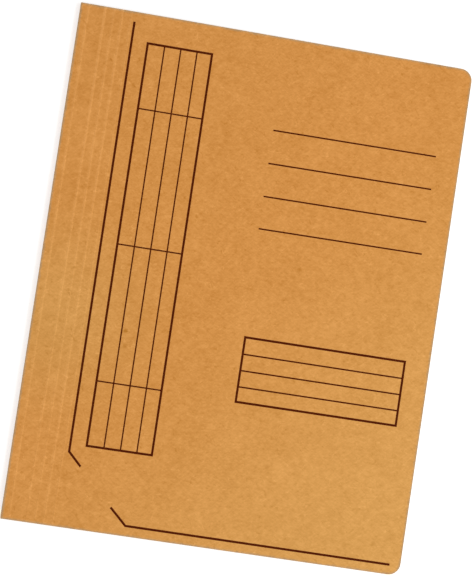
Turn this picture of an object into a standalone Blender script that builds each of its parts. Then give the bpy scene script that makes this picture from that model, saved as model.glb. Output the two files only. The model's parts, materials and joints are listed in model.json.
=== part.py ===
"""A4 fastener folder of manila board, lying closed, with its filing fastener inside.

One sheet of board makes the back cover, a narrow spine, five strips between score lines and the
front cover. Inside, a doubled filing strip is glued to the back cover. A bent tin strip lies under
it and comes up through two slots as two tongues, a cover bar with rolled edges sits over them, and
two slides on the bar hold the folded tongues down.

X runs from the spine to the free edge, Y up the page and Z away from the table. Each panel hangs
on the crease it folds at, so turning a panel about its own Y axis folds the sheet there.
"""

import bmesh
import bpy
from math import asin, cos, hypot, pi, radians, sin
from mathutils import Vector

MM = 0.001

# Cover sheet
COVER_WIDTH = 242 * MM  # spine to free edge
COVER_HEIGHT = 310 * MM
BOARD = 0.4 * MM
CORNER_RADIUS = 7.2 * MM  # the two free corners of each cover
FIRST_SCORE = 4.75 * MM  # spine to the nearest score line
WIDE_STRIP = 10.1 * MM  # from there to the second one
SCORE_PITCH = 5.25 * MM  # between the others
SCORE_COUNT = 5
SCORE_CHAMFER = 0.12 * MM  # each side of the groove that a score line leaves outside
CREASE_GAP = 0.2 * MM  # between two panels at the outer face
FREE_EDGE_GAP = 0.3 * MM  # front cover over back cover, where the closed folder is thinnest

# Filing strip, two plies of the cover's board
STRIP_WIDTH = 34 * MM
STRIP_TO_SPINE = 3 * MM
STRIP_TO_EDGE = 4 * MM  # at head and foot
STRIP_CORNER = 3 * MM

# Fastener, bent from tin plate
HOLE_PITCH = 80 * MM  # between the two punched holes of the filed sheets
TIN = 0.25 * MM
TONGUE_WIDTH = 5 * MM
TONGUE_BEND = 0.5 * MM
SLOT_CLEARANCE = 0.4 * MM  # round a tongue, in the filing strip and in the bar
BAR_WIDTH = 11 * MM
BAR_OVERHANG = 16 * MM  # bar past each hole
BAR_CURL = 0.5 * MM  # radius of the rolled edge, at the middle of the tin
BAR_LIP = 0.7 * MM  # flat end of the rolled edge
BAR_CORNER = 2.6 * MM
SLIDE_LENGTH = 7 * MM
SLIDE_LIP = 2.2 * MM  # reach of a slide under the bar
SLIDE_BEND = 0.35 * MM
PARK_GAP = 1.2 * MM  # between the two slides, parked in the middle of the bar
TIP_CLEARANCE = 1.5 * MM  # parked slide to the tip of the folded tongue
GRIP_HEIGHT = 0.2 * MM
GRIP_ROUND = 0.12 * MM
GRIP_WIDTH = 0.7 * MM
GRIP_PITCH = 1.6 * MM
GRIP_COUNT = 3
GRIP_TO_SIDE = 1.6 * MM

FIT = 0.15 * MM  # between two pieces that lie on each other
COVER_CLEARANCE = 0.3 * MM  # slides to the inside of the front cover
CUT_OVERRUN = 1 * MM  # cutters past the faces that they cut

ROUND_STEPS = 10
CURL_STEPS = 10
BEND_STEPS = 4
END_ROUND = 0.9  # of half the width, at the round end of a slot or a tongue

# Heights of the stack, from the table up
strip_bottom = BOARD + FIT
strip_top = strip_bottom + 2 * BOARD
recess_top = strip_bottom + TIN + FIT
slide_bottom_z = strip_top + FIT
bar_bottom = slide_bottom_z + TIN + FIT
tongue_bottom_z = bar_bottom + TIN + FIT
tongue_top_z = tongue_bottom_z + TIN
leg_top = tongue_bottom_z - FIT
bar_top = bar_bottom + 2 * BAR_CURL + TIN
slide_top_z = bar_top + FIT + TIN
cover_inner = slide_top_z + GRIP_HEIGHT + COVER_CLEARANCE
spine_height = cover_inner + BOARD

# Places across the page
spine_x = -COVER_WIDTH / 2
strip_left = spine_x + STRIP_TO_SPINE
fastener_x = strip_left + STRIP_WIDTH / 2
strip_widths = [FIRST_SCORE, WIDE_STRIP] + [SCORE_PITCH] * (SCORE_COUNT - 2)
last_score = sum(strip_widths)

# Places up the page
hole_y = HOLE_PITCH / 2
tongue_outer_y = hole_y + TIN / 2
parked_end = PARK_GAP / 2 + SLIDE_LENGTH
tongue_length = tongue_outer_y - parked_end - TIP_CLEARANCE
parked_y = PARK_GAP / 2 + SLIDE_LENGTH / 2
bar_length = HOLE_PITCH + 2 * BAR_OVERHANG


def clear_scene():
    for obj in list(bpy.data.objects):
        bpy.data.objects.remove(obj, do_unlink=True)


def new_collection(name):
    collection = bpy.data.collections.new(name)
    bpy.context.scene.collection.children.link(collection)
    return collection


def finish(name, colour, roughness, metallic=0.0):
    """A plain Principled material."""
    material = bpy.data.materials.new(name)
    material.use_nodes = True
    shader = material.node_tree.nodes["Principled BSDF"]
    shader.inputs["Base Color"].default_value = (*colour, 1)
    shader.inputs["Roughness"].default_value = roughness
    shader.inputs["Metallic"].default_value = metallic
    return material


def object_from(bm, name, collection, material=None):
    """Turns a finished bmesh into an object of the collection."""
    bmesh.ops.recalc_face_normals(bm, faces=bm.faces)
    mesh = bpy.data.meshes.new(name)
    bm.to_mesh(mesh)
    bm.free()
    if material:
        mesh.materials.append(material)
    obj = bpy.data.objects.new(name, mesh)
    collection.objects.link(obj)
    return obj


def add_box(bm, low, high):
    """Adds a cube primitive stretched between two corners, and returns its vertices."""
    low = Vector(low)
    high = Vector(high)
    verts = bmesh.ops.create_cube(bm, size=1)["verts"]
    bmesh.ops.scale(bm, vec=high - low, verts=verts)
    bmesh.ops.translate(bm, vec=(low + high) / 2, verts=verts)
    return verts


def edges_where(bm, test):
    """The edges with both ends at places that pass the test."""
    return [edge for edge in bm.edges if all(test(vert.co) for vert in edge.verts)]


def near(a, b):
    return abs(a - b) < 1e-7


def round_corners(bm, radius, test):
    """Rounds the upright edges whose ends pass the test."""
    upright = [
        edge
        for edge in edges_where(bm, test)
        if near(edge.verts[0].co.x, edge.verts[1].co.x) and near(edge.verts[0].co.y, edge.verts[1].co.y)
    ]
    bmesh.ops.bevel(bm, geom=upright, offset=radius, segments=ROUND_STEPS, affect="EDGES", profile=0.5)


def make_cutter(bm, name):
    """A helper that is cut away from, or joined to, a part, and isn't a part itself."""
    cutter = object_from(bm, name, cutters)
    cutter.hide_render = True
    cutter.display_type = "WIRE"
    return cutter


def boolean(obj, cutter, operation):
    modifier = obj.modifiers.new(cutter.name, "BOOLEAN")
    modifier.operation = operation
    modifier.object = cutter


def place(obj, parent, location, turn=0.0):
    """Hangs a piece on its parent, turned about the Y axis."""
    obj.parent = parent
    obj.location = location
    obj.rotation_euler.y = turn
    return obj


def board_panel(name, width, start, end, inner_side):
    """One panel of the sheet, along +X from the crease at its origin, with its outer face at z = 0.

    An end is "fold", mitred for a square fold, "score", grooved outside, or "free", with round
    corners. inner_side is 1 where the inside of the folder is towards +Z, and -1 towards -Z.
    """
    inner = inner_side * BOARD
    set_back = {"fold": CREASE_GAP / 2, "score": CREASE_GAP / 2, "free": 0.0}
    low_x = set_back[start]
    high_x = width - set_back[end]
    bm = bmesh.new()
    add_box(bm, (low_x, -COVER_HEIGHT / 2, min(0, inner)), (high_x, COVER_HEIGHT / 2, max(0, inner)))
    for kind, x, inwards in ((start, low_x, 1), (end, high_x, -1)):
        if kind == "fold":
            mitred = [vert for vert in bm.verts if near(vert.co.x, x) and near(vert.co.z, inner)]
            bmesh.ops.translate(bm, vec=(inwards * BOARD, 0, 0), verts=mitred)
        elif kind == "score":
            outer_edge = edges_where(bm, lambda co: near(co.x, x) and near(co.z, 0))
            bmesh.ops.bevel(bm, geom=outer_edge, offset=SCORE_CHAMFER, segments=1, affect="EDGES")
        else:
            round_corners(bm, CORNER_RADIUS, lambda co: near(co.x, x))
    return object_from(bm, name, folder, manila)


def make_cover():
    """The creased sheet, as a chain of panels from the back cover round to the front cover."""
    back = board_panel("back_cover", COVER_WIDTH, "fold", "free", 1)
    back.location.x = spine_x
    spine = board_panel("spine_panel", spine_height, "fold", "fold", -1)
    place(spine, back, (0, 0, 0), radians(-90))
    carrier, crease, turn = spine, spine_height, radians(90)
    for number, width in enumerate(strip_widths, 1):
        start = "fold" if number == 1 else "score"
        strip = board_panel(f"score_strip_{number}", width, start, "score", -1)
        place(strip, carrier, (crease, 0, 0), turn)
        carrier, crease, turn = strip, width, 0.0
    # The front cover slopes from the top of the fastener down to the back cover's free edge.
    front_width = COVER_WIDTH - last_score
    drop = spine_height - 2 * BOARD - FREE_EDGE_GAP
    slope = asin(drop / hypot(front_width, drop))
    front = board_panel("front_cover", front_width, "score", "free", -1)
    place(front, carrier, (crease, 0, 0), slope)
    return back


def make_filing_strip(back):
    """The doubled strip, hollowed below for the tin strip and slotted for its two tongues."""
    half_width = STRIP_WIDTH / 2
    half_height = COVER_HEIGHT / 2 - STRIP_TO_EDGE
    bm = bmesh.new()
    add_box(bm, (-half_width, -half_height, 0), (half_width, half_height, strip_top - strip_bottom))
    round_corners(bm, STRIP_CORNER, lambda co: co.x > 0)
    strip = object_from(bm, "filing_strip", folder, manila_strip)
    place(strip, back, (fastener_x - spine_x, 0, strip_bottom))

    across = TONGUE_WIDTH / 2 + SLOT_CLEARANCE
    along = tongue_outer_y + SLOT_CLEARANCE
    bm = bmesh.new()
    add_box(bm, (-across, -along, -CUT_OVERRUN), (across, along, recess_top - strip_bottom))
    recess = place(make_cutter(bm, "recess_cutter"), strip, (0, 0, 0))
    boolean(strip, recess, "DIFFERENCE")
    slots = place(slot_cutter("strip_slot_cutter", 3 * BOARD), strip, (0, 0, 0))
    boolean(strip, slots, "DIFFERENCE")


def slot_cutter(name, height):
    """Two upright blocks with round ends, one round each tongue."""
    across = TONGUE_WIDTH / 2 + SLOT_CLEARANCE
    along = TIN / 2 + SLOT_CLEARANCE
    bm = bmesh.new()
    for y in (-hole_y, hole_y):
        add_box(bm, (-across, y - along, -CUT_OVERRUN / 2), (across, y + along, height))
    round_corners(bm, END_ROUND * along, lambda co: True)
    return make_cutter(bm, name)


def swept_sheet(name, profile, run, bends=()):
    """A sheet of tin that follows the profile and is drawn out along run, half to each side.

    bends names the profile points that get the given bend radius, as (index, radius) pairs.
    """
    bm = bmesh.new()
    row = [bm.verts.new(Vector(point) - Vector(run) / 2) for point in profile]
    edges = [bm.edges.new(pair) for pair in zip(row, row[1:])]
    swept = bmesh.ops.extrude_edge_only(bm, edges=edges)["geom"]
    moved = [item for item in swept if isinstance(item, bmesh.types.BMVert)]
    bmesh.ops.translate(bm, vec=run, verts=moved)
    for index, radius in bends:
        place_of_bend = Vector(profile[index])
        corner = [
            edge
            for edge in bm.edges
            if all((vert.co - place_of_bend).cross(Vector(run)).length < 1e-9 for vert in edge.verts)
        ]
        bmesh.ops.bevel(bm, geom=corner, offset=radius, segments=BEND_STEPS, affect="EDGES", profile=0.5)
    sheet = object_from(bm, name, folder, tin_plate)
    solid = sheet.modifiers.new("tin", "SOLIDIFY")
    solid.thickness = TIN
    solid.offset = 0
    solid.use_even_offset = True
    solid.use_quality_normals = True
    return sheet


def make_fastener_base(back):
    """The tin strip under the filing strip, with the two legs that carry the tongues."""
    middle = TIN / 2
    leg = leg_top - strip_bottom
    profile = [(0, -hole_y, leg), (0, -hole_y, middle), (0, hole_y, middle), (0, hole_y, leg)]
    bends = [(1, TONGUE_BEND), (2, TONGUE_BEND)]
    base = swept_sheet("fastener_base", profile, (TONGUE_WIDTH, 0, 0), bends)
    place(base, back, (fastener_x - spine_x, 0, strip_bottom))
    return base


def make_tongue(name, base, side):
    """A tongue folded down along the bar. Its origin is the outer corner of the bend."""
    tip = -side * tongue_length
    bm = bmesh.new()
    half = TONGUE_WIDTH / 2
    add_box(bm, (-half, min(0, tip), -TIN), (half, max(0, tip), 0))
    round_corners(bm, END_ROUND * half, lambda co: near(co.y, tip))
    tongue = object_from(bm, name, folder, tin_tongue)
    return place(tongue, base, (0, side * tongue_outer_y, tongue_top_z - strip_bottom))


def rolled_edge(side):
    """Half of the bar's section, from the middle out and round the rolled edge."""
    centre = BAR_WIDTH / 2 - TIN / 2 - BAR_CURL
    turns = [pi * step / CURL_STEPS - pi / 2 for step in range(CURL_STEPS + 1)]
    points = [(centre + BAR_CURL * cos(turn), BAR_CURL + BAR_CURL * sin(turn)) for turn in turns]
    points.append((centre - BAR_LIP, 2 * BAR_CURL))
    return [(side * x, 0, TIN / 2 + z) for x, z in points]


def make_cover_bar(back):
    """The cover bar: a channel with rolled edges, round ends and a slot for each tongue."""
    profile = list(reversed(rolled_edge(-1))) + rolled_edge(1)
    bar = swept_sheet("cover_bar", profile, (0, bar_length + 2 * CUT_OVERRUN, 0))
    place(bar, back, (fastener_x - spine_x, 0, bar_bottom))

    half_width = BAR_WIDTH / 2 + FIT
    half_length = bar_length / 2
    bm = bmesh.new()
    add_box(
        bm,
        (-half_width, -half_length, -CUT_OVERRUN),
        (half_width, half_length, bar_top - bar_bottom + CUT_OVERRUN),
    )
    round_corners(bm, BAR_CORNER, lambda co: True)
    outline = place(make_cutter(bm, "bar_outline"), bar, (0, 0, 0))
    boolean(bar, outline, "INTERSECT")
    slots = place(slot_cutter("bar_slot_cutter", TIN + CUT_OVERRUN / 2), bar, (0, 0, 0))
    boolean(bar, slots, "DIFFERENCE")
    return bar


def make_slide(name, bar, side):
    """A slide: a tin band round the bar, open below, with grip ribs across its top."""
    half_width = BAR_WIDTH / 2 + FIT + TIN / 2
    low = -(FIT + TIN / 2)
    high = bar_top - bar_bottom + FIT + TIN / 2
    inner = half_width - SLIDE_LIP
    profile = [
        (-inner, 0, low),
        (-half_width, 0, low),
        (-half_width, 0, high),
        (half_width, 0, high),
        (half_width, 0, low),
        (inner, 0, low),
    ]
    bends = [(index, SLIDE_BEND) for index in range(1, 5)]
    slide = swept_sheet(name, profile, (0, SLIDE_LENGTH, 0), bends)
    slide.data.materials.clear()
    slide.data.materials.append(tin_slide)
    place(slide, bar, (0, side * parked_y, 0))

    rib = half_width - GRIP_TO_SIDE
    bm = bmesh.new()
    for count in range(GRIP_COUNT):
        y = (count - (GRIP_COUNT - 1) / 2) * GRIP_PITCH
        top = high + TIN / 2 + GRIP_HEIGHT
        add_box(bm, (-rib, y - GRIP_WIDTH / 2, high), (rib, y + GRIP_WIDTH / 2, top))
    top_edges = edges_where(bm, lambda co: near(co.z, high + TIN / 2 + GRIP_HEIGHT))
    bmesh.ops.bevel(bm, geom=top_edges, offset=GRIP_ROUND, segments=BEND_STEPS, affect="EDGES", profile=0.5)
    ribs = place(make_cutter(bm, name + "_ribs"), slide, (0, 0, 0))
    boolean(slide, ribs, "UNION")
    return slide


clear_scene()
folder = new_collection("fastener_folder")
cutters = new_collection("cutters")
manila = finish("manila_board", (0.66, 0.30, 0.075), 0.85)
manila_strip = finish("manila_strip", (0.62, 0.28, 0.07), 0.85)
tin_plate = finish("tin_plate", (0.62, 0.62, 0.60), 0.35, 1.0)
tin_tongue = finish("tin_tongue", (0.66, 0.66, 0.64), 0.32, 1.0)
tin_slide = finish("tin_slide", (0.58, 0.58, 0.57), 0.3, 1.0)

back_cover = make_cover()
make_filing_strip(back_cover)
fastener_base = make_fastener_base(back_cover)
make_tongue("tongue_top", fastener_base, 1)
make_tongue("tongue_bottom", fastener_base, -1)
cover_bar = make_cover_bar(back_cover)
make_slide("slide_top", cover_bar, 1)
make_slide("slide_bottom", cover_bar, -1)
print(f"spine height {spine_height / MM:.2f} mm, tongue length {tongue_length / MM:.2f} mm")
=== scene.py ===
# %% [markdown]
# # A fastener folder in manila board
#
# The folder is one sheet of stiff orange-brown board: a back cover, a narrow spine, five strips
# between score lines and a front cover with ruled lines printed on it. Inside lies a tin fastener.
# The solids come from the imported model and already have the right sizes. This file dresses them:
# it makes the board look like board, joins the panels across their creases, prints the rules and
# gives the tin parts their finish.

# %% Load the frame
import json
from math import atan2, degrees, pi, radians

import bpy
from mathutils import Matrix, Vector


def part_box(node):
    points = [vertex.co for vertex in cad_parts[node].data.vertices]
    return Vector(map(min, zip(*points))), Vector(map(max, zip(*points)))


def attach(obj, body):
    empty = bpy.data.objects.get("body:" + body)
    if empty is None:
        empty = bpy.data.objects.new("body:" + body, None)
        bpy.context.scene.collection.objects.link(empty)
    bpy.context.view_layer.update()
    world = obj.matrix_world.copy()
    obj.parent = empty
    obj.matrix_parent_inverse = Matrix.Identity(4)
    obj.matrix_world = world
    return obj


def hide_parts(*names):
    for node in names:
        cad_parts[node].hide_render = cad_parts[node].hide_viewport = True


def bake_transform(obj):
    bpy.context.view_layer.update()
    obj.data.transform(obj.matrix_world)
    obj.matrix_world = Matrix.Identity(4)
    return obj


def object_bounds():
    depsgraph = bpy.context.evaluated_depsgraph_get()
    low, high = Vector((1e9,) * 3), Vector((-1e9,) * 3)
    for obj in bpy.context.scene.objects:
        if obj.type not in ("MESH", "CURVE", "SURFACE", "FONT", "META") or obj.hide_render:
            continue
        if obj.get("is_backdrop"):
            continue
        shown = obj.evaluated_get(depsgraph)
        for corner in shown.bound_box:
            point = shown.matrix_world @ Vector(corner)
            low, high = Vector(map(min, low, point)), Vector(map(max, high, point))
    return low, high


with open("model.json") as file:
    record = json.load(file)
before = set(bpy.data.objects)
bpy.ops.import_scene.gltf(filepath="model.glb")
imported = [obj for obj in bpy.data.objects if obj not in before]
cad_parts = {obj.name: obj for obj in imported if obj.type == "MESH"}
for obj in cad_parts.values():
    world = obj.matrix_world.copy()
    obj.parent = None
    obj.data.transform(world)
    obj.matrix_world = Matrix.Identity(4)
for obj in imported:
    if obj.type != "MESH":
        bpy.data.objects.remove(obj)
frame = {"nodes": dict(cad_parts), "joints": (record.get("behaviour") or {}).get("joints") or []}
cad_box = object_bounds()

bpy.ops.object.select_all(action="DESELECT")  # the solids come in selected

MM = 0.001
nodes = frame["nodes"]
hinge = {joint["name"]: Vector(joint["pos_m"]) for joint in frame["joints"] if "pos_m" in joint}
score_names = sorted(name for name in hinge if name.startswith("score_"))
cad_low, cad_high = cad_box
spine_x = cad_low.x
head_y = cad_high.y
foot_y = cad_low.y
cover_height = head_y - foot_y
top_z = cad_high.z
print(f"{len(nodes)} solids, {cover_height / MM:.0f} mm high, {top_z / MM:.2f} mm thick")

# %% [markdown]
# ## Camera
#
# The photograph looks almost straight down through a long lens, so the edges stay nearly
# parallel. A camera could be dragged until the view looks right, but numbers are easier to
# correct: the point on the table that it aims at, its distance from it and three turns, which
# are two small tilts and the turn of the picture.

# %% Camera
CAMERA_AIM = Vector((-0.0029, 0.0016, 0))
CAMERA_DISTANCE = 1.419
CAMERA_LENS = 148
CAMERA_TURNS = (radians(2.04), radians(-7.37), radians(8.71))
CAMERA_SEES_TO = 10

bpy.ops.object.camera_add(rotation=CAMERA_TURNS)
camera = bpy.context.object
camera.name = "camera"
camera.data.lens = CAMERA_LENS
camera.data.clip_end = CAMERA_SEES_TO
camera.location = CAMERA_AIM + camera.rotation_euler.to_matrix() @ Vector((0, 0, CAMERA_DISTANCE))
bpy.context.scene.camera = camera
bpy.context.scene.view_settings.view_transform = "Standard"
print(f"camera {CAMERA_DISTANCE:.2f} m from the folder, {CAMERA_LENS} mm lens")

# %% [markdown]
# ## Floor and light
#
# The picture has a white ground with hardly any shadow. More light would whiten the floor, but
# it would bleach the board too. So the floor is a pale matt plane that glows a little for the
# camera alone: it comes out white while the folder still casts its soft shadow on it. The world
# gives most of the light, and one large lamp from the right makes the board a little brighter
# there and lets the score lines show.

# %% Helpers for shader nodes
def add_node(tree, kind, **settings):
    """Adds a shader node. A setting named like one of its properties goes there, any other on the input
    of that name, with _ for a space."""
    node = tree.nodes.new(kind)
    for name, value in settings.items():
        if hasattr(node, name) and name not in node.inputs:
            setattr(node, name, value)
            continue
        socket = node.inputs[name.replace("_", " ")]
        if isinstance(value, bpy.types.NodeSocket):
            tree.links.new(value, socket)
        else:
            socket.default_value = value
    return node


def math_node(tree, operation, *values):
    """One step of arithmetic on numbers or sockets. Returns its output."""
    node = tree.nodes.new("ShaderNodeMath")
    node.operation = operation
    for socket, value in zip(node.inputs, values):
        if isinstance(value, bpy.types.NodeSocket):
            tree.links.new(value, socket)
        else:
            socket.default_value = value
    return node.outputs[0]


def straight_look(tree):
    """1 for rays that reach the eye straight or by a mirror or glass, 0 for rays that light things."""
    path = add_node(tree, "ShaderNodeLightPath")
    straight = math_node(tree, "MAXIMUM", path.outputs["Is Camera Ray"], path.outputs["Is Glossy Ray"])
    return math_node(tree, "MAXIMUM", straight, path.outputs["Is Transmission Ray"])


def new_material(name):
    """An empty material with its output node."""
    material = bpy.data.materials.new(name)
    material.use_nodes = True
    material.node_tree.nodes.clear()
    return material, add_node(material.node_tree, "ShaderNodeOutputMaterial")


# %% Floor
FLOOR_SIZE = 6
FLOOR_COLOUR = (0.8, 0.8, 0.8, 1)
FLOOR_GLOW = 0.5

bpy.ops.mesh.primitive_plane_add(size=FLOOR_SIZE, location=(0, 0, cad_low.z))
floor = bpy.context.object
floor.name = "floor"
paper_white, output = new_material("pale_floor")
tree = paper_white.node_tree
matt = add_node(tree, "ShaderNodeBsdfDiffuse", Color=FLOOR_COLOUR)
glow = add_node(
    tree, "ShaderNodeEmission", Strength=math_node(tree, "MULTIPLY", straight_look(tree), FLOOR_GLOW)
)
both = tree.nodes.new("ShaderNodeAddShader")
tree.links.new(matt.outputs[0], both.inputs[0])
tree.links.new(glow.outputs[0], both.inputs[1])
tree.links.new(both.outputs[0], output.inputs["Surface"])
floor.data.materials.append(paper_white)
floor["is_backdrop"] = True
print(f"floor {FLOOR_SIZE} m wide at {cad_low.z / MM:.2f} mm")

# %% World and lamp
WORLD_LEVEL = 0.62
LAMP_PLACE = Vector((1.05, -0.3, 1.2))
LAMP_SIZE = 1.2
LAMP_POWER = 14.5

world = bpy.data.worlds.new("studio")
world.use_nodes = True
bpy.context.scene.world = world
tree = world.node_tree
tree.nodes.clear()
level = math_node(tree, "MULTIPLY_ADD", straight_look(tree), 1 - WORLD_LEVEL, WORLD_LEVEL)
background = add_node(tree, "ShaderNodeBackground", Color=(1, 1, 1, 1), Strength=level)
output = add_node(tree, "ShaderNodeOutputWorld")
tree.links.new(background.outputs[0], output.inputs["Surface"])

bpy.ops.object.light_add(type="AREA", location=LAMP_PLACE)
lamp = bpy.context.object
lamp.name = "softbox"
lamp.data.size = LAMP_SIZE
lamp.data.energy = LAMP_POWER
lamp.rotation_euler = LAMP_PLACE.to_track_quat("Z", "Y").to_euler()
print(f"world at {WORLD_LEVEL}, lamp {LAMP_PLACE.length:.2f} m away with {LAMP_POWER} W")

# %% [markdown]
# ## Manila board
#
# Manila is a recycled board: its colour is one warm orange-brown, mottled by clumps of pulp from
# a millimetre to a centimetre wide, with short pale and dark fibres that lie mostly across the
# page, a few longer threads and two dark specks. The board is matt. It is yellower towards one
# corner and where it is handled. It is painted a little greyer along its outline and on the outside of
# the spine creases, a painted edge shade together with rubbing. It is painted lighter along the score
# lines, a painted highlight of the pressed lines together with burnish, and it is darker where it was
# cut. A picture of board would have to be cut to fit every panel. Noise and distances on the object's
# own coordinates, in metres, give the grain its true size everywhere, and it stays put when a panel folds.

# %% Noise for the board
NOISE_MIDDLE = 0.5  # Blender's noise runs from 0 to 1


def noise(tree, place, per_metre, detail=2.0, roughness=0.5, stretch=(1, 1, 1), turn=0.0):
    """A noise pattern around zero, with so many waves in a metre. stretch is how many times longer it is
    along each axis, turned about Z."""
    mapping = add_node(
        tree, "ShaderNodeMapping", vector_type="TEXTURE", Vector=place, Scale=stretch, Rotation=(0, 0, turn)
    )
    settings = {"Scale": per_metre, "Detail": detail, "Roughness": roughness}
    texture = add_node(tree, "ShaderNodeTexNoise", Vector=mapping.outputs[0], **settings)
    return math_node(tree, "SUBTRACT", texture.outputs[0], NOISE_MIDDLE)


def weighted_sum(tree, terms):
    """Adds up (socket, weight) pairs."""
    total = 0.0
    for socket, weight in terms:
        total = math_node(tree, "MULTIPLY_ADD", socket, weight, total)
    return total


def fade(tree, value, start, end):
    """1 where the value is at start, smoothly down to 0 at end."""
    settings = {"From_Min": start, "From_Max": end, "To_Min": 1.0, "To_Max": 0.0}
    node = add_node(tree, "ShaderNodeMapRange", interpolation_type="SMOOTHSTEP", Value=value, **settings)
    return node.outputs["Result"]


def mix(tree, amount, first, second):
    """The first colour where the amount is 0, the second where it is 1."""
    return add_node(tree, "ShaderNodeMixRGB", Fac=amount, Color1=first, Color2=second).outputs[0]


# %% Distance from the cut edges
FREE_CORNER = 7.2 * MM


def inside_outline(tree, split):
    """How far a point lies from the three cut edges of the folder, with round corners at the free edge."""
    free_x = math_node(tree, "SUBTRACT", cad_high.x - FREE_CORNER, split.outputs["X"])
    up_or_down = math_node(tree, "ABSOLUTE", split.outputs["Y"])
    free_y = math_node(tree, "SUBTRACT", head_y - FREE_CORNER, up_or_down)
    past_x = math_node(tree, "MAXIMUM", math_node(tree, "MULTIPLY", free_x, -1.0), 0.0)
    past_y = math_node(tree, "MAXIMUM", math_node(tree, "MULTIPLY", free_y, -1.0), 0.0)
    squares = math_node(tree, "MULTIPLY_ADD", past_x, past_x, math_node(tree, "MULTIPLY", past_y, past_y))
    round_part = math_node(tree, "SQRT", squares)
    straight_part = math_node(tree, "MAXIMUM", math_node(tree, "MINIMUM", free_x, free_y), 0.0)
    return math_node(tree, "SUBTRACT", math_node(tree, "ADD", straight_part, FREE_CORNER), round_part)


# %% Distance from the creases
def from_creases(tree, split):
    """How far a point lies from the nearer crease of the spine, and how deep it lies below the outside."""
    across = math_node(tree, "SUBTRACT", split.outputs["X"], spine_x)
    below_top = math_node(tree, "SUBTRACT", top_z, split.outputs["Z"])
    up = math_node(tree, "MINIMUM", split.outputs["Z"], below_top)
    squares = math_node(tree, "MULTIPLY_ADD", across, across, math_node(tree, "MULTIPLY", up, up))
    return math_node(tree, "SQRT", squares), math_node(tree, "MINIMUM", across, up)


# %% Score lines in the board
# How plainly each score line shows at the head and at the foot, from the spine on.
SCORE_STRENGTHS = ((1.5, 0.8), (2.0, 0.35), (1.2, 0.5), (1.5, 0.85), (0.9, 0.35))
SCORE_MIDDLE = 0.2 * MM  # as pale as it gets up to here
SCORE_SIDE = 1.3 * MM  # plain board from here on
# how much lighter the score lines are painted: a painted highlight of the pressed lines, together with
# burnish
SCORE_HIGHLIGHT_AND_BURNISH = 0.031
SCORE_UNEVEN = 0.05
SCORE_WAVES_PER_METRE = 30
SCORE_WAVE_STRETCH = (0.1, 1, 1)


def near_scores(tree, split):
    """About 1 on a score line, fading to 0 a millimetre beside it: the mask of the painted highlight and
    burnish there. Most were pressed harder at the head.
    """
    total = 0.0
    for name, (at_head, at_foot) in zip(score_names, SCORE_STRENGTHS):
        beside = math_node(tree, "SUBTRACT", split.outputs["X"], hinge[name].x)
        line = fade(tree, math_node(tree, "ABSOLUTE", beside), SCORE_MIDDLE, SCORE_SIDE)
        slope = (at_head - at_foot) / cover_height
        strength = math_node(tree, "MULTIPLY_ADD", split.outputs["Y"], slope, (at_head + at_foot) / 2)
        total = math_node(tree, "MULTIPLY_ADD", line, strength, total)
    return total


def score_highlight_and_burnish(tree, place, split):
    """How much lighter the score lines are painted, a painted highlight of the pressed lines together with
    burnish, a little uneven along them.
    """
    along = noise(tree, place, SCORE_WAVES_PER_METRE, detail=3, stretch=SCORE_WAVE_STRETCH)
    light = math_node(tree, "MULTIPLY_ADD", along, SCORE_UNEVEN, SCORE_HIGHLIGHT_AND_BURNISH)
    return math_node(tree, "MULTIPLY", near_scores(tree, split), light)


# %% Long fibres
THREADS_PER_METRE = 210
THREAD_STRETCH = (3, 1, 1)
THREAD_CORE = 0.001  # noise this close to zero is the middle of a thread
THREAD_SIDE = 0.014
THREAD_GAPS_PER_METRE = 330
THREAD_GAP = 0.12
THREAD_WHOLE = 0.04


def long_fibres(tree, place, turn):
    """Up to 1 on thin threads a few millimetres long: the zero lines of one noise, broken up by another."""
    bends = noise(tree, place, THREADS_PER_METRE, detail=1, stretch=THREAD_STRETCH, turn=turn)
    thread = fade(tree, math_node(tree, "ABSOLUTE", bends), THREAD_CORE, THREAD_SIDE)
    gaps = noise(tree, place, THREAD_GAPS_PER_METRE, detail=0, turn=turn)
    return math_node(tree, "MULTIPLY", thread, fade(tree, gaps, THREAD_GAP, THREAD_WHOLE))


# %% Round places
def around(tree, place, centre, inner, outer, fraying=0.0):
    """1 within the inner distance from a point, smoothly down to 0 at the outer one. fraying is added to
    the distance."""
    apart = add_node(tree, "ShaderNodeVectorMath", operation="DISTANCE")
    tree.links.new(place, apart.inputs[0])
    apart.inputs[1].default_value = centre
    return fade(tree, math_node(tree, "ADD", apart.outputs["Value"], fraying), inner, outer)


# %% Grain of the board
CLOUDS_PER_METRE = 24
CLOUD_TONE = 0.035
CLUMPS_PER_METRE = 85
CLUMP_TONE = 0.015
PULP_PER_METRE = 170
PULP_TONE = 0.148
FIBRES_PER_METRE = 1000
FIBRE_STRETCH = (4, 1, 1)
FIBRE_TURNS = (-0.55, 0.05, 0.75)
FIBRE_TONE = 0.06
FLECKS_PER_METRE = 300
FLECK_STRETCH = (1.5, 1, 1)
FLECK_CORE = -0.24  # noise this low is the middle of a fleck
FLECK_SIDE = -0.16
FLECK_TONE = -0.03
THREADS = ((0.3, 0.045), (-0.9, -0.04), (1.3, 0.03))  # turn and tone of each set of long fibres
SPECK_HEIGHT = top_z - 0.41 * MM  # the cover slopes down that far to the specks
SPECKS = (((-0.0647, -0.0344), 1.8 * MM, -0.085), ((-0.0641, -0.0429), 2.0 * MM, -0.05))  # place, size, tone
SPECK_CORE = 0.3  # share of a speck's size that is darkest
FRAYED_BY = 2.0 * MM  # how much the pulp moves the borders of specks and of the painted edge shade and rubbing


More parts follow.
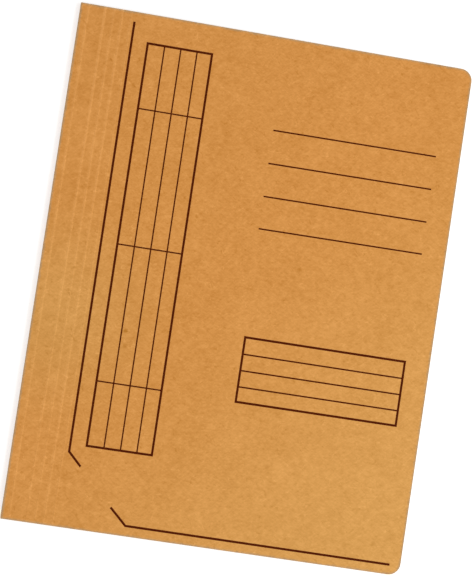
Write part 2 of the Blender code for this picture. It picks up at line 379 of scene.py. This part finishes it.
def grain(tree, place):
    """How much lighter or darker each point is, and the pulp and the short fibres for the bumps."""
    clouds = noise(tree, place, CLOUDS_PER_METRE, detail=1)
    clumps = noise(tree, place, CLUMPS_PER_METRE, detail=0)
    pulp = noise(tree, place, PULP_PER_METRE, detail=3, roughness=1.0)
    fibres = [
        noise(tree, place, FIBRES_PER_METRE, detail=1, stretch=FIBRE_STRETCH, turn=turn)
        for turn in FIBRE_TURNS
    ]
    lows = noise(tree, place, FLECKS_PER_METRE, detail=2, stretch=FLECK_STRETCH)
    flecks = fade(tree, lows, FLECK_CORE, FLECK_SIDE)
    tones = [(clouds, CLOUD_TONE), (clumps, CLUMP_TONE), (pulp, PULP_TONE), (flecks, FLECK_TONE)]
    tones += [(fibre, FIBRE_TONE) for fibre in fibres]
    tones += [(long_fibres(tree, place, turn), thread_tone) for turn, thread_tone in THREADS]
    fraying = math_node(tree, "MULTIPLY", pulp, FRAYED_BY)
    for spot, size, speck_tone in SPECKS:
        speck = around(tree, place, (*spot, SPECK_HEIGHT), SPECK_CORE * size, size, fraying)
        tones.append((speck, speck_tone))
    return weighted_sum(tree, tones), pulp, fibres


# %% Colour of the board
MANILA = (0.662, 0.281, 0.0615, 1)
MANILA_YELLOW = (0.667, 0.331, 0.0835, 1)
# greyer and a little darker: painted shade along the outline and the spine creases, together with rubbing
EDGE_SHADE_AND_RUB = (0.510, 0.300, 0.1300, 1)
YELLOW_WAY = (0.75, -0.65, 0)  # towards the free foot corner
YELLOW_FROM = -0.03
YELLOW_TO = 0.19
HANDLED_PLACE = (-0.108, -0.030, top_z)  # where a hand takes the folder by its spine
HANDLED_SIZE = 0.082
HANDLED_AMOUNT = 0.7
EDGE_SHADE_AND_RUB_FULL_TO = 0.2 * MM
EDGE_SHADE_AND_RUB_UP_TO = 1.6 * MM
OUTSIDE_SKIN = (0.1 * MM, 0.3 * MM)  # the painted edge shade and rubbing lie on the outside of a crease alone


def edge_shade_and_rub_mask(tree, distance, pulp):
    """The mask of the painted edge shade and rubbing: 1 on an edge, fading to 0 a millimetre and a half from
    it, with a frayed border.
    """
    frayed = math_node(tree, "MULTIPLY_ADD", pulp, FRAYED_BY, distance)
    return fade(tree, frayed, EDGE_SHADE_AND_RUB_FULL_TO, EDGE_SHADE_AND_RUB_UP_TO)


def board_colour(tree, place, split, pulp):
    """Manila, yellower towards one corner and where it is handled, and painted greyer and a little darker
    along the outline and the outside of the spine creases, a painted edge shade together with rubbing.
    """
    across = add_node(tree, "ShaderNodeVectorMath", operation="DOT_PRODUCT")
    tree.links.new(place, across.inputs[0])
    across.inputs[1].default_value = YELLOW_WAY
    towards_corner = fade(tree, across.outputs["Value"], YELLOW_TO, YELLOW_FROM)
    handled = around(tree, place, HANDLED_PLACE, 0.0, HANDLED_SIZE)
    yellowed = math_node(tree, "MULTIPLY_ADD", handled, HANDLED_AMOUNT, towards_corner)
    board = mix(tree, yellowed, MANILA, MANILA_YELLOW)
    # the outline and the outside of the spine creases are painted greyer: painted edge shade with rubbing
    board = mix(tree, edge_shade_and_rub_mask(tree, inside_outline(tree, split), pulp), board, EDGE_SHADE_AND_RUB)
    crease, below = from_creases(tree, split)
    on_crease = math_node(tree, "MULTIPLY", edge_shade_and_rub_mask(tree, crease, pulp), fade(tree, below, *OUTSIDE_SKIN))
    return mix(tree, on_crease, board, EDGE_SHADE_AND_RUB)


# %% Manila material
CUT_EDGE = (0.42, 0.235, 0.095, 1)
CUT_FACING = 0.6  # a face that points this much along the sheet was cut
PALE_PULP = Vector((1.79, 1.10, 0.484))  # looks equally lighter in red, green and blue
REST_PLACE = "rest_place"  # where each point of a bending piece lies in the closed folder
GRAIN_HEIGHT = 0.03 * MM
GRAIN_BUMP = 0.5
FIBRE_BUMP = 0.5  # against 1 for the pulp
BOARD_ROUGHNESS = 0.82
PULP_ROUGHNESS = 0.3
BOARD_SPECULAR = 0.2


def manila_board(name, scored=True, cut_across_x=True, shade=0.0, bends=False):
    """Manila board. scored paints the score lines lighter, a painted highlight together with burnish,
    cut_across_x is off where faces towards X aren't cut ones, shade makes it lighter or darker all over, and
    bends is for a piece that carries REST_PLACE."""
    material, output = new_material(name)
    tree = material.node_tree
    coordinates = tree.nodes.new("ShaderNodeTexCoord")
    place = coordinates.outputs["Object"]
    if bends:
        place = add_node(tree, "ShaderNodeAttribute", attribute_name=REST_PLACE).outputs["Vector"]
    split = add_node(tree, "ShaderNodeSeparateXYZ", Vector=place)

    tone, pulp, fibres = grain(tree, place)
    tone = math_node(tree, "ADD", tone, shade)
    # the score lines are painted lighter: a painted highlight together with burnish
    if scored:
        tone = math_node(tree, "ADD", tone, score_highlight_and_burnish(tree, place, split))
    board = board_colour(tree, place, split, pulp)
    facing = add_node(tree, "ShaderNodeSeparateXYZ", Vector=coordinates.outputs["Normal"])
    cut = math_node(tree, "ABSOLUTE", facing.outputs["Y"])
    if cut_across_x:
        cut = math_node(tree, "MAXIMUM", cut, math_node(tree, "ABSOLUTE", facing.outputs["X"]))
    board = mix(tree, math_node(tree, "GREATER_THAN", cut, CUT_FACING), board, CUT_EDGE)
    colour = add_node(tree, "ShaderNodeVectorMath", operation="MULTIPLY_ADD")
    tree.links.new(tone, colour.inputs[0])
    colour.inputs[1].default_value = PALE_PULP
    tree.links.new(board, colour.inputs[2])

    height = weighted_sum(tree, [(pulp, 1.0)] + [(fibre, FIBRE_BUMP) for fibre in fibres])
    bump = add_node(tree, "ShaderNodeBump", Strength=GRAIN_BUMP, Distance=GRAIN_HEIGHT, Height=height)
    shader = add_node(
        tree,
        "ShaderNodeBsdfPrincipled",
        Base_Color=colour.outputs[0],
        Roughness=math_node(tree, "MULTIPLY_ADD", pulp, PULP_ROUGHNESS, BOARD_ROUGHNESS),
        Specular_IOR_Level=BOARD_SPECULAR,
        Normal=bump.outputs[0],
    )
    tree.links.new(shader.outputs[0], output.inputs["Surface"])
    return material


# %% Board finishes
board_finish = manila_board("manila_board")
plain_finish = manila_board("manila_board_plain", scored=False)
folded_finish = manila_board("manila_board_folded", cut_across_x=False)
strip_finish = manila_board("manila_strip", scored=False, shade=-0.01)
bent_finish = manila_board("manila_board_bent", cut_across_x=False, bends=True)

strip_names = [f"score_strip_{number}" for number in range(1, len(score_names) + 1)]
board_solids = {"back_cover": plain_finish, "front_cover": board_finish, "filing_strip": strip_finish}
board_solids |= {name: folded_finish for name in ["spine_panel"] + strip_names}
for node_name, finish in board_solids.items():
    node_mesh = nodes[node_name].data  # its shape is left alone
    node_mesh.materials.clear()
    node_mesh.materials.append(finish)
print(f"{len(board_solids)} solids in manila board")

# %% [markdown]
# ## Working by hand, in code
#
# Every new piece below starts from a primitive and is shaped with the tools that a person would
# click. An operator acts on what is selected, so the first helpers pick a single object, and
# select faces or edges by a test on their place. The others put a piece's place into its mesh,
# note where its points lie, add a rectangle and copy a piece.

# %% Selection helpers
SAME_PLACE = 0.001 * MM  # points closer than this count as one


def pick(obj):
    """Makes one object the only selected one, and the active one."""
    bpy.ops.object.select_all(action="DESELECT")
    obj.select_set(True)
    bpy.context.view_layer.objects.active = obj


def select_faces(obj, test):
    """Leaves edit mode, selects the faces that pass the test and goes back in."""
    bpy.ops.object.mode_set(mode="OBJECT")
    bpy.context.tool_settings.mesh_select_mode = (False, False, True)
    for vert in obj.data.vertices:
        vert.select = False
    for edge in obj.data.edges:
        edge.select = False
    for face in obj.data.polygons:
        face.select = test(face)
    bpy.ops.object.mode_set(mode="EDIT")


def select_edges(obj, test):
    """The same for edges. The test gets the two ends of an edge."""
    bpy.ops.object.mode_set(mode="OBJECT")
    bpy.context.tool_settings.mesh_select_mode = (False, True, False)
    verts = obj.data.vertices
    for face in obj.data.polygons:
        face.select = False
    for vert in verts:
        vert.select = False
    for edge in obj.data.edges:
        edge.select = test(verts[edge.vertices[0]].co, verts[edge.vertices[1]].co)
    bpy.ops.object.mode_set(mode="EDIT")


# %% Placing helpers
def place_applied(obj):
    """Puts the object's place, turn and size into its mesh."""
    pick(obj)
    bpy.ops.object.transform_apply(location=True, rotation=True, scale=True)


def keep_rest_place(obj):
    """Notes where each point lies now, so that the board's grain stays put when the piece bends."""
    noted = obj.data.attributes.new(REST_PLACE, "FLOAT_VECTOR", "POINT")
    for item, vert in zip(noted.data, obj.data.vertices):
        item.vector = vert.co


def add_sheet(name, centre, width, height, turns=(0, 0, 0)):
    """A single rectangle, with its place, turns and size in its mesh."""
    bpy.ops.mesh.primitive_plane_add(size=1, location=centre, rotation=turns)
    sheet = bpy.context.object
    sheet.name = name
    sheet.scale = (width, height, 1)
    place_applied(sheet)
    return sheet


def copy_moved(original, name, way):
    """A copy of a piece, with its own mesh, moved by a vector."""
    pick(original)
    bpy.ops.object.duplicate(linked=False)
    copy = bpy.context.object
    copy.name = name
    copy.location = way
    place_applied(copy)
    return copy


# %% [markdown]
# ## Score lines
#
# A score line is pressed into the board, and on the cover it shows as a fine raised bead, a
# millimetre and a half wide. A bump in the board's material could draw it, but the gap between
# the panels would stay open. A very flat rod, half sunk in the board and with softened ends,
# gives that rounded bead. It is modelled once and copied to each line. Each rod bridges the gap
# between two panels.

# %% Model one score bead
BEAD_WIDTH = 1.6 * MM
BEAD_RISE = 0.06 * MM  # above the outer face
BEAD_DROP = 0.03 * MM  # below the inner face
BEAD_SIDES = 24
BEAD_END = 0.06 * MM
SHORT_OF_EDGE = 0.03 * MM  # so that no end face lies in the same plane as a panel's
SMOOTH_BELOW = radians(40)  # edges that turn less are shaded smooth

board_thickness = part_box("back_cover")[1].z - cad_low.z
bead_top = top_z + BEAD_RISE
bead_bottom = top_z - board_thickness - BEAD_DROP
joined_length = cover_height - 2 * SHORT_OF_EDGE
first_score = hinge[score_names[0]]

bpy.ops.mesh.primitive_cylinder_add(
    vertices=BEAD_SIDES,
    radius=1,
    depth=1,
    location=(first_score.x, 0, (bead_top + bead_bottom) / 2),
    rotation=(pi / 2, 0, 0),
    scale=(BEAD_WIDTH / 2, (bead_top - bead_bottom) / 2, joined_length),
)
first_bead = bpy.context.object
first_bead.name = "score_bead_1"
place_applied(first_bead)
select_edges(first_bead, lambda a, b: abs(a.y - b.y) < SAME_PLACE)
bpy.ops.mesh.bevel(offset=BEAD_END, segments=2, affect="EDGES")
bpy.ops.object.mode_set(mode="OBJECT")
pick(first_bead)
bpy.ops.object.shade_smooth_by_angle(angle=SMOOTH_BELOW)
first_bead.data.materials.append(bent_finish)
print(f"one bead: {len(first_bead.data.polygons)} faces, {BEAD_RISE / MM:.2f} mm proud")

# %% Copy it to every score line
beads = [first_bead]
for number, score_name in enumerate(score_names[1:], 2):
    beads.append(copy_moved(first_bead, f"score_bead_{number}", hinge[score_name] - first_score))

for number, bead in enumerate(beads, 1):
    keep_rest_place(bead)
    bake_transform(bead)
print(f"{len(beads)} beads, each between two panels")

# %% [markdown]
# ## Creases of the spine
#
# The sheet is folded square at both edges of the spine. A cylinder could stand in the corner, but
# it would show as a seam beside the flat panels. Each crease is an L of board that wraps the ends
# of its two panels: a bar along the cover, whose outer part is drawn out along the spine, with
# its outer edge rounded.

# %% Spine creases
CREASE_REACH = 0.85 * MM  # along each of the two panels
CREASE_SKIN = 0.012 * MM  # over the faces of the panels
CREASE_ROUND = 0.13 * MM
POINTS_THERE = 0.5  # a face with this much of its normal along an axis points that way

leg = board_thickness + 2 * CREASE_SKIN


def spine_crease(name, corner_z, side):
    """An L along the spine. side is 1 where the spine rises from the corner, and -1 where it drops."""
    outer_x = spine_x - CREASE_SKIN
    bpy.ops.mesh.primitive_cube_add(
        size=1,
        location=(outer_x + CREASE_REACH / 2, 0, corner_z + side * (leg / 2 - CREASE_SKIN)),
        scale=(CREASE_REACH, joined_length, leg),
    )
    crease = bpy.context.object
    crease.name = name
    place_applied(crease)
    inner_x = outer_x + leg
    bpy.ops.object.mode_set(mode="EDIT")
    bpy.ops.mesh.select_all(action="SELECT")
    bpy.ops.mesh.bisect(plane_co=(inner_x, 0, 0), plane_no=(1, 0, 0))
    select_faces(crease, lambda face: side * face.normal.z > POINTS_THERE and face.center.x < inner_x)
    bpy.ops.mesh.extrude_faces_move(TRANSFORM_OT_shrink_fatten={"value": CREASE_REACH - leg})
    outer_corner = Vector((outer_x, corner_z - side * CREASE_SKIN))
    select_edges(crease, lambda a, b: all((co.xz - outer_corner).length < SAME_PLACE for co in (a, b)))
    bpy.ops.mesh.bevel(offset=CREASE_ROUND, segments=4, affect="EDGES")
    bpy.ops.object.mode_set(mode="OBJECT")
    pick(crease)
    bpy.ops.object.shade_smooth_by_angle(angle=SMOOTH_BELOW)
    crease.data.materials.append(bent_finish)
    keep_rest_place(crease)
    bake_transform(crease)
    return crease


creases = [
    spine_crease("spine_crease_back", cad_low.z, 1),
    spine_crease("spine_crease_front", top_z, -1),
]
print("creases:", ", ".join(f"{crease.name} {len(crease.data.polygons)} faces" for crease in creases))

# %% [markdown]
# ## Printed rules
#
# The cover is printed with a tall table of four columns, four lines to write on, a label frame of
# four rows, and one long rule along the spine and one along the foot, each with a slanted end.
# They could be painted in the board's material, but then every rule needs its own nodes and has
# no shape of its own. Here the rules are drawn flat, in millimetres from the spine and from the
# head as on a printer's layout, and laid on the sloping cover afterwards. They are a film of
# ink, a few hundredths of a millimetre thick. As in the photograph, the print sits a little
# askew on the cover, and the writing lines rise a little to the right.

# %% Page layout
INK = 0.03 * MM  # film thickness, half of it sunk in the board
THICK_RULE = 1.39 * MM
THIN_RULE = 0.93 * MM
TABLE_INNER_RULE = 0.86 * MM

TABLE_COLUMNS = (43.4, 53.7, 63.6, 73.5, 82.6)
TABLE_ROWS = (17.6, 57.1, 139.1, 221.4, 260.3)
LABEL_COLUMNS = (127.7, 226.4)
LABEL_ROWS = (182.5, 192.7, 202.6, 212.4, 221.5)
WRITING_LINES = (56.6, 76.8, 96.9, 116.6)
WRITING_SPAN = (126.1, 227.2)
WRITING_RISE = 0.4  # towards the free edge
SPINE_RULE = ((33.6, 6.1), (33.6, 265.1), (41.6, 273.0))
FOOT_RULE = ((62.9, 294.3), (73.2, 303.9), (234.9, 304.7))
PRINT_SKEW = radians(0.18)  # the sheet went into the press a little askew

last_score = hinge[score_names[-1]]
page_start = (last_score.x - spine_x) / MM  # the front cover begins at the last score line


def on_page(from_spine, from_head):
    """A point of the layout, as seen from the last score line, before the page is laid on the cover."""
    return Vector(((from_spine - page_start) * MM, head_y - from_head * MM, 0))


# %% Ruled frames
def ruled_frame(name, columns, rows, inner_width):
    """A frame of thick rules with thinner rules inside, cut from one plane."""
    low = on_page(columns[0], rows[-1])
    high = on_page(columns[-1], rows[0])
    size = high - low
    frame_lines = add_sheet(name, (low + high) / 2, size.x + THICK_RULE, size.y + THICK_RULE)
    bpy.ops.object.mode_set(mode="EDIT")
    bpy.ops.mesh.select_all(action="SELECT")
    bpy.ops.mesh.inset(thickness=THICK_RULE - inner_width / 2)

    def inside(face):
        return low.x < face.center.x < high.x and low.y < face.center.y < high.y

    cuts = [(on_page(column, 0), (1, 0, 0)) for column in columns[1:-1]]
    cuts += [(on_page(0, row), (0, 1, 0)) for row in rows[1:-1]]
    for point, normal in cuts:
        select_faces(frame_lines, inside)
        bpy.ops.mesh.bisect(plane_co=point, plane_no=normal)
    select_faces(frame_lines, inside)
    bpy.ops.mesh.inset(thickness=inner_width / 2, use_individual=True)
    bpy.ops.mesh.delete(type="FACE")
    bpy.ops.object.mode_set(mode="OBJECT")
    film = frame_lines.modifiers.new("film", "SOLIDIFY")
    film.thickness = INK
    film.offset = 0
    pick(frame_lines)
    bpy.ops.object.modifier_apply(modifier="film")
    return frame_lines


table = ruled_frame("table_rules", TABLE_COLUMNS, TABLE_ROWS, TABLE_INNER_RULE)
label = ruled_frame("label_rules", LABEL_COLUMNS, LABEL_ROWS, THIN_RULE)
print(f"table {len(table.data.polygons)} faces, label frame {len(label.data.polygons)} faces")


# %% Single rules
def single_rule(name, points, width):
    """A rule through two or more points. A ribbon on edge is drawn along them and then thickened, which
    mitres its bends."""
    places = [on_page(*point) for point in points]
    start, second = places[:2]
    along = second - start
    upright = (pi / 2, 0, atan2(along.y, along.x))
    rule = add_sheet(name, (start + second) / 2, along.length, INK, upright)
    for here, there in zip(places[1:], places[2:]):
        select_edges(rule, lambda a, b: all((co.xy - here.xy).length < SAME_PLACE for co in (a, b)))
        bpy.ops.mesh.extrude_region_move(TRANSFORM_OT_translate={"value": there - here})
    bpy.ops.object.mode_set(mode="OBJECT")
    film = rule.modifiers.new("film", "SOLIDIFY")
    film.thickness = width
    film.offset = 0
    film.use_even_offset = True
    pick(rule)
    bpy.ops.object.modifier_apply(modifier="film")
    return rule


# %% Draw the single rules
first_row = WRITING_LINES[0]
from_left, to_right = WRITING_SPAN
first_line = single_rule(
    "writing_line_1",
    [(from_left, first_row + WRITING_RISE / 2), (to_right, first_row - WRITING_RISE / 2)],
    THIN_RULE,
)
rules = [first_line]
for number, row in enumerate(WRITING_LINES[1:], 2):
    rules.append(copy_moved(first_line, f"writing_line_{number}", on_page(0, row) - on_page(0, first_row)))
rules.append(single_rule("spine_rule", SPINE_RULE, THICK_RULE))
rules.append(single_rule("foot_rule", FOOT_RULE, THICK_RULE))
print("single rules:", ", ".join(rule.name for rule in rules))

# %% [markdown]
# ## Printing ink
#
# The ink is a dark red-brown and quite matt, because the board drinks it. One flat colour would
# look like tape. A fine noise wears it thin in places, down to a lighter brown. The finished
# rules are then joined into one film, turned a little, and laid on the slope of the cover.

# %% Ink
INK_COLOUR = (0.060, 0.005, 0.0003, 1)
INK_WORN = (0.125, 0.022, 0.002, 1)
WEAR_PER_METRE = 900
WEAR_CONTRAST = 1.6
WEAR_AVERAGE = 0.35
INK_ROUGHNESS = 0.8
INK_SPECULAR = 0.03

ink, output = new_material("printing_ink")
tree = ink.node_tree
place = tree.nodes.new("ShaderNodeTexCoord").outputs["Object"]
wear = noise(tree, place, WEAR_PER_METRE, detail=3, roughness=0.7)
worn = math_node(tree, "MULTIPLY_ADD", wear, WEAR_CONTRAST, WEAR_AVERAGE)
shader = add_node(
    tree,
    "ShaderNodeBsdfPrincipled",
    Base_Color=mix(tree, worn, INK_COLOUR, INK_WORN),
    Roughness=INK_ROUGHNESS,
    Specular_IOR_Level=INK_SPECULAR,
)
tree.links.new(shader.outputs[0], output.inputs["Surface"])
print(f"{ink.name}: {len(tree.nodes)} nodes")

# %% Lay the page on the cover
facing_up = [face for face in nodes["front_cover"].data.polygons if face.normal.z > 0]
outer_face = max(facing_up, key=lambda face: face.area)
cover_slope = atan2(outer_face.normal.x, outer_face.normal.z)

pick(table)
for piece in [label] + rules:
    piece.select_set(True)
bpy.ops.object.join()
printed = bpy.context.object
printed.name = "printed_rules"
printed.rotation_euler = (0, 0, PRINT_SKEW)
place_applied(printed)
printed.location = last_score
printed.rotation_euler = (0, cover_slope, 0)
place_applied(printed)
printed.data.materials.append(ink)
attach(printed, "front")
print(f"printed rules: {len(printed.data.polygons)} faces, cover slope {degrees(cover_slope):.2f} degrees")

# %% [markdown]
# ## Tin fastener
#
# The bar, the slides and the tongues are bent from thin tin plate, which is grey and satin, with
# fine rolling marks along its length. They could be modelled anew, but the solids have the right
# shape already, as loose triangles. A merged copy gets the softened edges and smooth shading
# that a stamped and bent sheet has.

# %% Tin plate
MARKS_PER_METRE = 4200
MARK_STRETCH = (1, 30, 1)  # the plate was rolled along Y
MARK_TONE = 0.18
MARK_ROUGHNESS = 0.22
MARK_HEIGHT = 0.01 * MM
MARK_BUMP = 0.35
PATCHES_PER_METRE = 260
PATCH_TONE = 0.16
PATCH_ROUGHNESS = 0.3
SCUFFS_PER_METRE = 900
SCUFF_STRETCH = (1, 5, 1)
SCUFF_TURN = 0.6
SCUFF_TONE = 0.08


def tin_plate(name, shade, roughness):
    """Rolled tin plate of this shade and roughness, with rolling marks, duller patches and scuffs."""
    material, output = new_material(name)
    tree = material.node_tree
    place = tree.nodes.new("ShaderNodeTexCoord").outputs["Object"]
    marks = noise(tree, place, MARKS_PER_METRE, detail=3, roughness=0.6, stretch=MARK_STRETCH)
    patches = noise(tree, place, PATCHES_PER_METRE, detail=3, roughness=0.6)
    scuffs = noise(tree, place, SCUFFS_PER_METRE, detail=2, stretch=SCUFF_STRETCH, turn=SCUFF_TURN)
    tone = weighted_sum(tree, [(marks, MARK_TONE), (patches, PATCH_TONE), (scuffs, SCUFF_TONE)])
    tone = math_node(tree, "ADD", tone, 1.0)
    colour = add_node(tree, "ShaderNodeVectorMath", operation="SCALE", Scale=tone)
    colour.inputs[0].default_value = shade
    rough = weighted_sum(tree, [(marks, MARK_ROUGHNESS), (patches, PATCH_ROUGHNESS)])
    rough = math_node(tree, "ADD", rough, roughness)
    bump = add_node(tree, "ShaderNodeBump", Strength=MARK_BUMP, Distance=MARK_HEIGHT, Height=marks)
    shader = add_node(
        tree,
        "ShaderNodeBsdfPrincipled",
        Base_Color=colour.outputs[0],
        Metallic=1.0,
        Roughness=rough,
        Normal=bump.outputs[0],
    )
    tree.links.new(shader.outputs[0], output.inputs["Surface"])
    return material


bar_finish = tin_plate("tin_bar", shade=(0.56, 0.56, 0.55), roughness=0.34)
tongue_finish = tin_plate("tin_tongue", shade=(0.62, 0.62, 0.60), roughness=0.3)
slide_finish = tin_plate("tin_slide", shade=(0.52, 0.52, 0.52), roughness=0.28)
print("tin finishes:", ", ".join(finish.name for finish in (bar_finish, tongue_finish, slide_finish)))

# %% Softened tin parts
FLAT_BELOW = radians(1)  # triangles that turn less are made one face
SOFT_EDGE = 0.04 * MM
SOFT_ABOVE = radians(50)  # edges that turn more are softened


def tin_part(node_name, body, material):
    """A merged, softened and smoothly shaded copy of a tin solid, in place of that solid."""
    part = bpy.data.objects.new(f"{node_name}_tin", nodes[node_name].data.copy())
    bpy.context.scene.collection.objects.link(part)
    pick(part)
    bpy.ops.object.mode_set(mode="EDIT")
    bpy.ops.mesh.select_all(action="SELECT")
    bpy.ops.mesh.remove_doubles(threshold=SAME_PLACE)
    bpy.ops.mesh.dissolve_limited(angle_limit=FLAT_BELOW)
    bpy.ops.object.mode_set(mode="OBJECT")
    soft = part.modifiers.new("soft", "BEVEL")
    soft.width = SOFT_EDGE
    soft.segments = 2
    soft.limit_method = "ANGLE"
    soft.angle_limit = SOFT_ABOVE
    bpy.ops.object.modifier_apply(modifier="soft")
    bpy.ops.object.shade_smooth_by_angle(angle=SMOOTH_BELOW)
    part.data.materials.clear()
    part.data.materials.append(material)
    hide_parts(node_name)
    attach(part, body)
    return part


# %% Dress the fastener
tin_parts = [tin_part(name, "back", bar_finish) for name in ("fastener_base", "cover_bar")]
for end in ("top", "bottom"):
    tin_parts.append(tin_part(f"tongue_{end}", f"tongue_{end}", tongue_finish))
    tin_parts.append(tin_part(f"slide_{end}", f"slide_{end}", slide_finish))
for part in tin_parts:
    print(f"{part.name}: {len(part.data.polygons)} faces")

# %% [markdown]
# ## Size and finish
#
# The last cell notes the box of the solids and the box of the dressed folder, which should agree.

# %% Print the sizes
sizes = {"cad": [list(corner) for corner in cad_box], "visual": [list(corner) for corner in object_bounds()]}
for box_name, corners in sizes.items():
    print(box_name, "box in mm:", [[round(value / MM, 2) for value in corner] for corner in corners])
